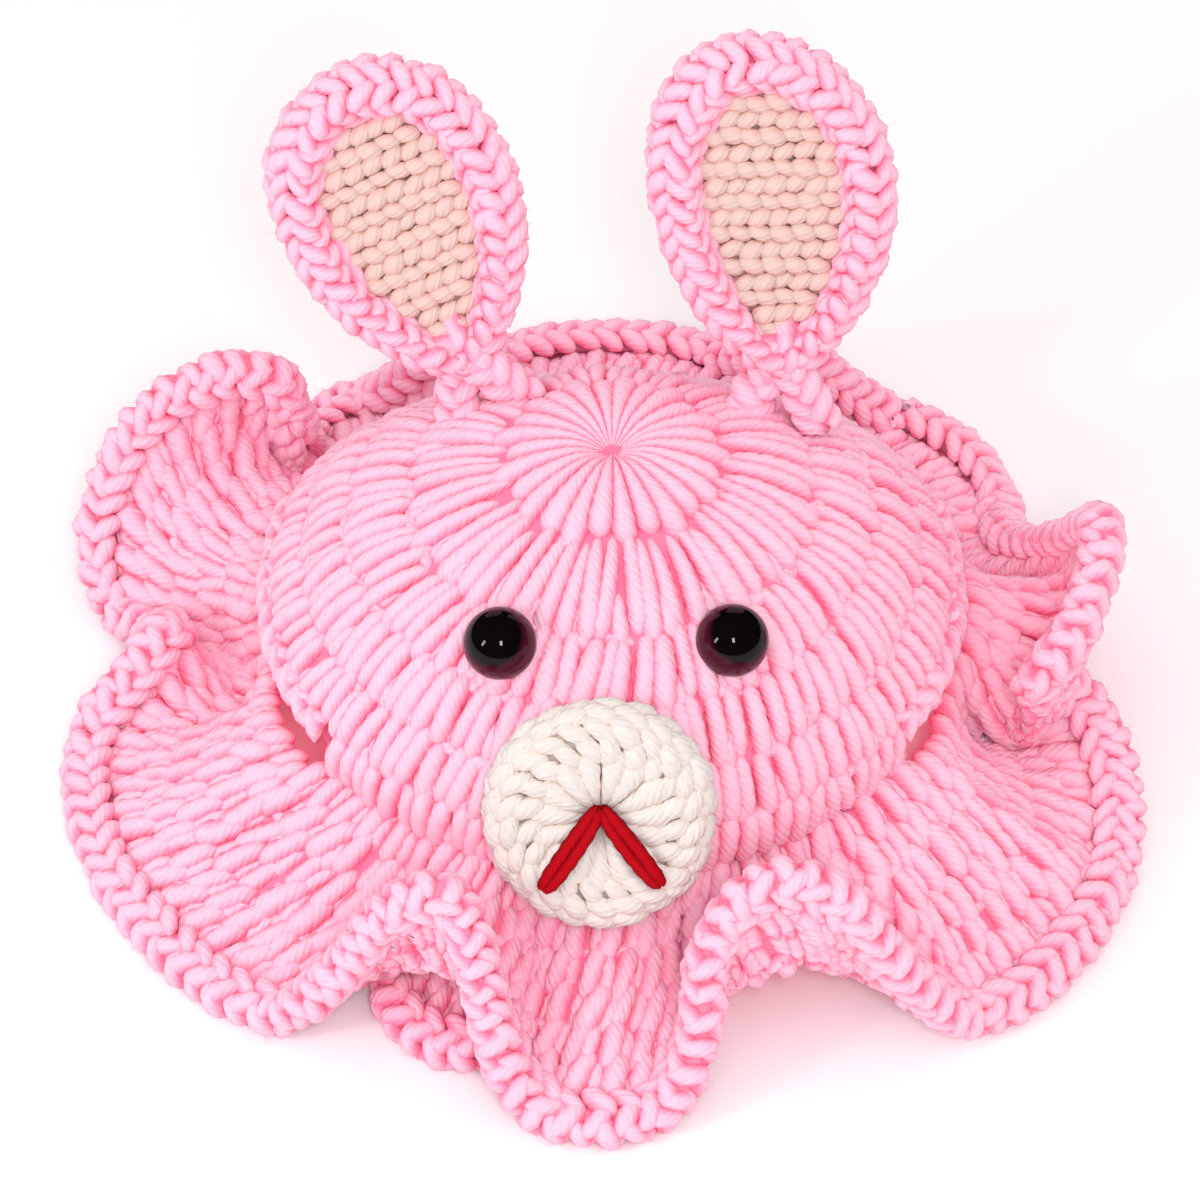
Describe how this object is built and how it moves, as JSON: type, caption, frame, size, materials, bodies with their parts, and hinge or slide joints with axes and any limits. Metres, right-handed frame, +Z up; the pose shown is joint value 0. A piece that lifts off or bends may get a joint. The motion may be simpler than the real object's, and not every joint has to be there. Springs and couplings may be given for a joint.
{
  "type": "crocheted baby hat with rabbit ears",
  "caption": "Thick crocheted baby hat: domed crown, ruffled brim with a rope-like hem, upright rabbit ears with pale linings, bead eyes and a round muzzle.",
  "frame": {"origin": "on the surface that the hat rests on, under the middle of the whole hat's box", "axes": "+Z up; the rabbit's face looks along -Y; +X is the viewer's right when facing it"},
  "size_m": [0.2306, 0.2354, 0.1425],
  "materials": {
    "pink_yarn": "soft matt yarn",
    "peach_yarn": "soft matt yarn",
    "cream_yarn": "soft matt yarn",
    "red_yarn": "soft matt yarn",
    "black_plastic": "polished",
    "clear_plastic": "satin"
  },
  "bodies": {
    "root": {"crown": "pink_yarn", "brim": "pink_yarn", "hem_edging": "pink_yarn", "ear_left": "pink_yarn", "ear_left_lining": "peach_yarn", "ear_right": "pink_yarn", "ear_right_lining": "peach_yarn", "eye_left": "black_plastic", "eye_washer_left": "clear_plastic", "eye_right": "black_plastic", "eye_washer_right": "clear_plastic", "muzzle": "cream_yarn", "mouth_left": "red_yarn", "mouth_right": "red_yarn"}
  },
  "joints": []
}
